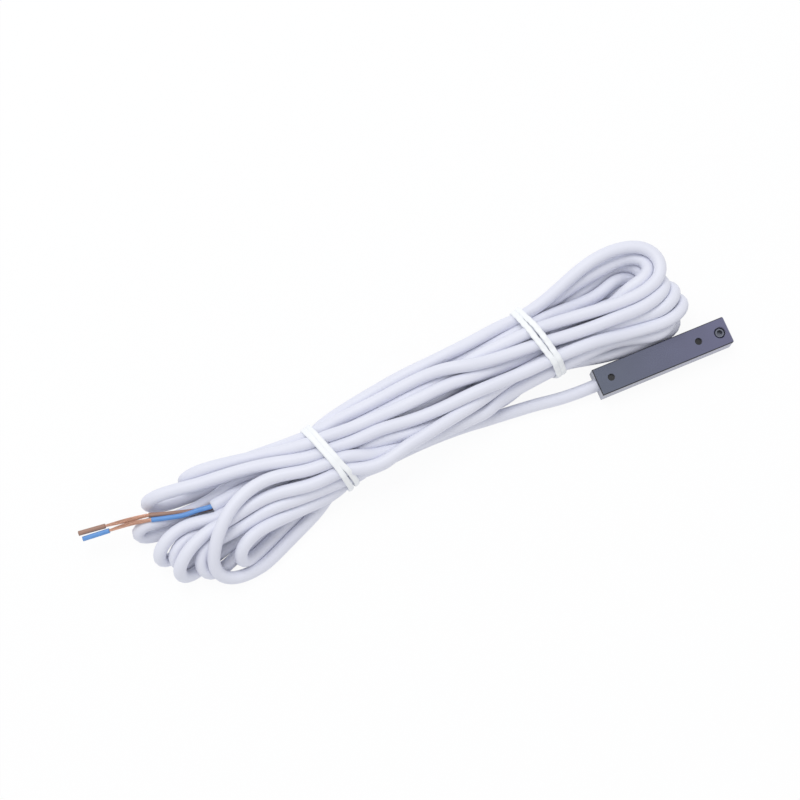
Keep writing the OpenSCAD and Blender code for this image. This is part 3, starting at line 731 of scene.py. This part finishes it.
BARE_MIDDLE = {"brown": (-53.2, 10.9, 7.6), "blue": (-53, 9.7, 7.8)}
SLUG_ENDS = {
    "brown": ((-58.8, 12.4, 7.3), (-65.7, 14.1, 6.8)),
    "blue": ((-58.4, 10.8, 7.4), (-65.4, 12.3, 6.8)),
}
CORE_COLOURS = {"brown": ("#9A7464", "#AA887A"), "blue": ("#5C90D2", "#6CA2E2")}
COVER_CLOUD = 1.5
DRAWN_STREAK = 0.5

# Drawn copper, bright and bare: warm and mirror-like, a little dulled in patches by handling.
copper_wire, tree, surface = new_material("copper_drawn_bright")
place = add(tree, "TexCoord")
drawn = add(tree, "TexNoise", {
    "Vector": place.outputs["Object"], "Scale": 1 / (DRAWN_STREAK * MM), "Detail": 2.0,
})
tone = add(tree, "Mix", {
    0: drawn.outputs["Fac"], 6: linear("#C79A86"), 7: linear("#DDB4A0"),
}, data_type="RGBA")
rough = add(tree, "MapRange", {"Value": drawn.outputs["Fac"], "To Min": 0.24, "To Max": 0.4})
shader = add(tree, "BsdfPrincipled", {
    "Base Color": tone.outputs[2], "Roughness": rough.outputs["Result"], "Metallic": 1.0,
})
tree.links.new(shader.outputs[0], surface)
dress(copper_wire, "brown_wire_inner", "blue_wire_inner")

lead_pieces = []
for colour, points in CORE_ROUTES.items():
    # Coloured vinyl, extruded thin: a little glossier than the jacket, and slightly uneven in its colour.
    cover_vinyl, tree, surface = new_material("vinyl_extruded_" + colour)
    place = add(tree, "TexCoord")
    cloud = add(tree, "TexNoise", {
        "Vector": place.outputs["Object"], "Scale": 1 / (COVER_CLOUD * MM), "Detail": 2.0,
    })
    deep, pale = CORE_COLOURS[colour]
    tone = add(tree, "Mix", {0: cloud.outputs["Fac"], 6: linear(deep), 7: linear(pale)}, data_type="RGBA")
    rough = add(tree, "MapRange", {"Value": cloud.outputs["Fac"], "To Min": 0.32, "To Max": 0.46})
    bump = add(tree, "Bump", {"Height": cloud.outputs["Fac"], "Strength": 0.1, "Distance": 0.03 * MM})
    shader = add(tree, "BsdfPrincipled", {
        "Base Color": tone.outputs[2], "Roughness": rough.outputs["Result"],
        "IOR": 1.53, "Normal": bump.outputs[0],
    })
    tree.links.new(shader.outputs[0], surface)
    dress(cover_vinyl, colour + "_core_inner")

    along, across, height = points[0]
    route = [hank_point(along + INSIDE_JACKET, across, height)] + [hank_point(*point) for point in points]
    core_path = through(route, CORE_STEP)
    core = grid_piece(
        colour + "_core_cover", [round_tube(core_path, CORE_D / 2, CORE_SIDES)], cover_vinyl,
        "switch",
    )
    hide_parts(colour + "_core")

    slug_ends = np.array([hank_point(*point) for point in SLUG_ENDS[colour]])
    back = route[-2] - route[-1]
    ahead = slug_ends[1] - slug_ends[0]
    into_core = route[-1] + INSIDE_COVER * back / np.linalg.norm(back)
    into_slug = slug_ends[0] + INSIDE_COVER * ahead / np.linalg.norm(ahead)
    bare_points = [into_core, route[-1], hank_point(*BARE_MIDDLE[colour]), slug_ends[0], into_slug]
    middle = through(bare_points, WIRE_STEP)
    side, up = frames_along(middle)
    run = np.linspace(0, WIRE_STEP * (len(middle) - 1), len(middle))
    bared = np.clip((run - INSIDE_COVER) / (run[-1] - 2 * INSIDE_COVER), 0, 1)
    swell = 1 + WIRE_SWELL * np.sin(np.pi * bared) - WIRE_TAPER * bared
    wires = []
    for ring_radius, count, first in WIRE_RINGS:
        for k in range(count):
            a = first + 2 * np.pi * (k / count + run / WIRE_LAY)
            outward = np.cos(a)[:, None] * side + np.sin(a)[:, None] * up
            wire = middle + (ring_radius * swell)[:, None] * outward
            wires.append(round_tube(wire, WIRE_D / 2, WIRE_SIDES))
    conductor = grid_piece(colour + "_wires", wires, copper_wire, "switch")
    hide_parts(colour + "_conductor")

    slug_path = slug_ends[0] + np.linspace(0, 1, SLUG_RINGS)[:, None] * ahead
    slug = grid_piece(
        colour + "_slug_cover", [round_tube(slug_path, CORE_D / 2, CORE_SIDES)], cover_vinyl,
        "switch",
    )
    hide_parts(colour + "_slug")
    lead_pieces += [core, conductor, slug]


# The two ties. Each is a soft white plastic twine wound twice round the folded lead and pulled tight, so
# that it follows the outermost strands. The two turns lie side by side and part a little where they run
# over an edge.
TIE_CORD_W = 1.6
TIE_CORD_T = 0.85
TIE_POINTS = 240
TIE_SIDES = 14
TIE_DIRECTIONS = 720
TIE_EASES = 6
TIE_CLEAR = 0.05
# The lead's points before these pass outside a tie, on the way from the case.
TIE_FIRST_POINT = {"left": 40, "right": 100}
TIE_FLATNESS = 0.42
TWIST_PITCH = 2.1
TWIST_DEPTH = {"left": 0.015, "right": 0.06}
TIE_SLIT = {"left": (-9.5, 5.0, 0.75), "right": (0.5, 7.0, 0.4)}
TIE_LAP = {"left": 0.16, "right": 0.04}
FIBRE_LENGTH = 7.0
FIBRES_ROUND = 14.0

# Stretched plastic film, twisted into twine: bright white and soft, with fine fibres along it.
twine, tree, surface = new_material("white_plastic_film_twisted")
along_map = add(tree, "UVMap", uv_map="along")
drawn = add(tree, "Mapping", {
    "Vector": along_map.outputs[0], "Scale": (1 / FIBRE_LENGTH, FIBRES_ROUND, 1.0),
})
fibre = add(tree, "TexNoise", {"Vector": drawn.outputs[0], "Scale": 1.0, "Detail": 2.0})
tone = add(tree, "Mix", {
    0: fibre.outputs["Fac"], 6: linear("#EFF3F8"), 7: linear("#FCFDFE"),
}, data_type="RGBA")
rough = add(tree, "MapRange", {"Value": fibre.outputs["Fac"], "To Min": 0.4, "To Max": 0.6})
bump = add(tree, "Bump", {"Height": fibre.outputs["Fac"], "Strength": 0.4, "Distance": 0.1 * MM})
shader = add(tree, "BsdfPrincipled", {
    "Base Color": tone.outputs[2], "Roughness": rough.outputs["Result"],
    "IOR": 1.51, "Normal": bump.outputs[0],
})
tree.links.new(shader.outputs[0], surface)


def strands_in_tie(path, side, first):
    """Where the lead crosses the tie's plane: its place across along the tie, and its height."""
    c, s = np.cos(HANK_TURN), np.sin(HANK_TURN)
    dx, dy = path[:, 0] - HANK_AT[0], path[:, 1] - HANK_AT[1]
    along, across = dx * c + dy * s, dy * c - dx * s
    off = along + across * np.tan(TIE_SLANT[side]) - TIE_AT[side]
    k = np.nonzero(off[:-1] * off[1:] < 0)[0]
    k = k[k > first]
    t = off[k] / (off[k] - off[k + 1])
    place = np.stack([across / np.cos(TIE_SLANT[side]), path[:, 2]], axis=1)
    return place[k] + t[:, None] * (place[k + 1] - place[k])


def tight_loop(centres, reach):
    """A line pulled tight round circles: in each direction d, the circle furthest out that way gives the
    point centre + reach * d. The points are then spread evenly and eased."""
    a = np.linspace(0, 2 * np.pi, TIE_DIRECTIONS, endpoint=False)
    d = np.stack([np.cos(a), np.sin(a)], axis=1)
    loop = centres[(centres @ d.T).argmax(axis=0)] + reach * d
    round_trip = np.vstack([loop, loop[:1]])
    run = np.concatenate([[0], np.cumsum(np.linalg.norm(np.diff(round_trip, axis=0), axis=1))])
    wanted = np.linspace(0, run[-1], TIE_POINTS, endpoint=False)
    loop = np.stack([np.interp(wanted, run, round_trip[:, k]) for k in range(2)], axis=1)
    for _ in range(TIE_EASES):
        loop = 0.5 * loop + 0.25 * (np.roll(loop, 1, axis=0) + np.roll(loop, -1, axis=0))
    return loop, run[-1]


for side, first in TIE_FIRST_POINT.items():
    loop, girth = tight_loop(strands_in_tie(cable_path, side, first), (CABLE_D + TIE_CORD_T) / 2)
    loop[:, 1] = np.maximum(loop[:, 1], TIE_CORD_T / 2 + TIE_CLEAR)
    slant = TIE_SLANT[side]
    middle = hank_point(TIE_AT[side] - loop[:, 0] * np.sin(slant), loop[:, 0] * np.cos(slant), loop[:, 1])
    out_of_plane = np.array([np.cos(HANK_TURN + slant), np.sin(HANK_TURN + slant), 0.0])
    forward = np.roll(middle, -1, axis=0) - np.roll(middle, 1, axis=0)
    forward /= np.linalg.norm(forward, axis=1, keepdims=True)
    outward = np.cross(forward, out_of_plane)
    slit_at, slit_half, slit = TIE_SLIT[side]
    opening = np.clip(1 - ((loop[:, 0] - slit_at) / slit_half) ** 2, 0, 1)
    apart = TIE_CORD_W / 2 - TIE_LAP[side] + slit / 2 * opening
    turns = np.linspace(0, 2 * np.pi * round(girth / TWIST_PITCH), TIE_POINTS, endpoint=False)
    a = np.linspace(0, 2 * np.pi, TIE_SIDES, endpoint=False)
    flat = np.sign(np.cos(a)) * np.abs(np.cos(a)) ** TIE_FLATNESS * TIE_CORD_W / 2
    thick = np.sin(a) * TIE_CORD_T / 2
    rings = []
    for sign in (-1, 1):
        twist = TWIST_DEPTH[side] * np.cos(turns + sign)[:, None]
        sideways = sign * apart[:, None] + flat * (1 + twist)
        outwards = thick * (1 - 2 * twist)
        across_cord = sideways[..., None] * out_of_plane
        through_cord = outwards[..., None] * outward[:, None]
        rings.append(middle[:, None] + across_cord + through_cord)
    tie = grid_piece(side + "_tie_cord", rings, twine, "switch", closed=True)
    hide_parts(side + "_tie")
    lead_pieces.append(tie)
